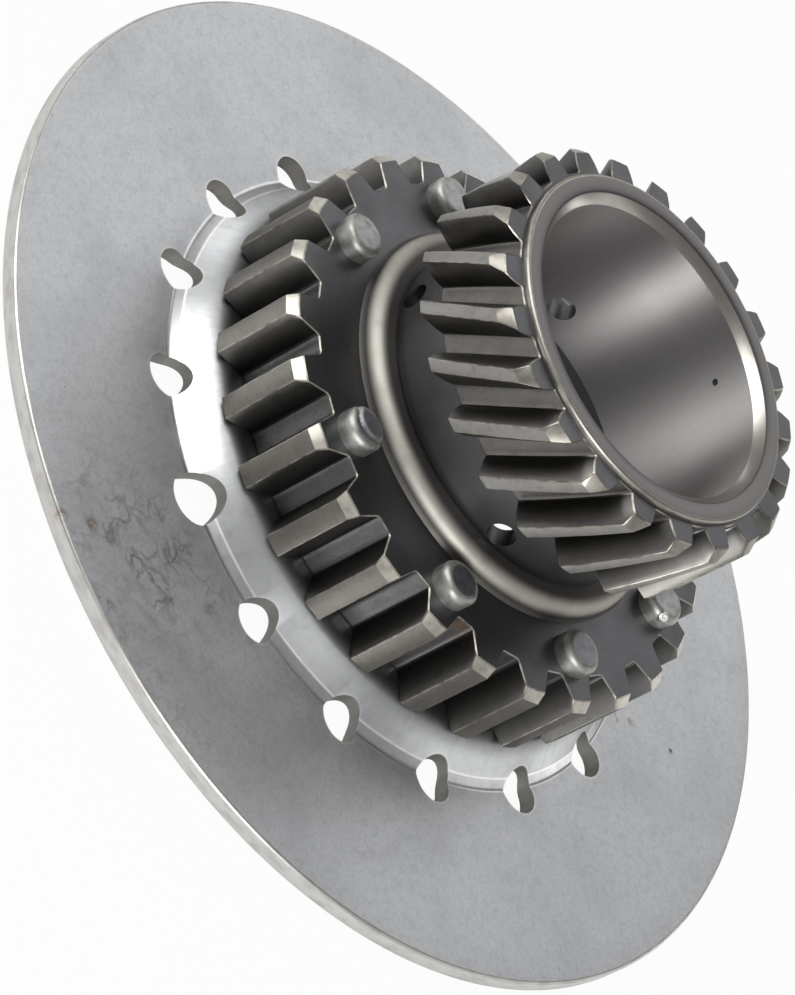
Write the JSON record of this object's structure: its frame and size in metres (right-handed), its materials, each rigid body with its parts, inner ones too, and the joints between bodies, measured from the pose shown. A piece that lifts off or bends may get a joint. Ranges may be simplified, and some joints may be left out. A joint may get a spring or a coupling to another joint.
{
  "type": "clutch pinion gear",
  "caption": "Clutch hub with a riveted steel back plate, a straight outer spline, a plain neck and a helical pinion round a through bore.",
  "frame": {"origin": "centre of the back plate's back face", "axes": "+Z along the gear's axis towards the pinion, +X through a spline tooth that has a rivet below it"},
  "size_m": [0.108, 0.108, 0.036],
  "materials": {
    "plate_steel": "pressed, worn satin",
    "gear_steel": "hardened, turned and ground",
    "rivet_steel": "set and worn"
  },
  "bodies": {
    "root": {"back_plate": "plate_steel", "pinion_gear": "gear_steel", "rivets": "rivet_steel"}
  },
  "joints": []
}
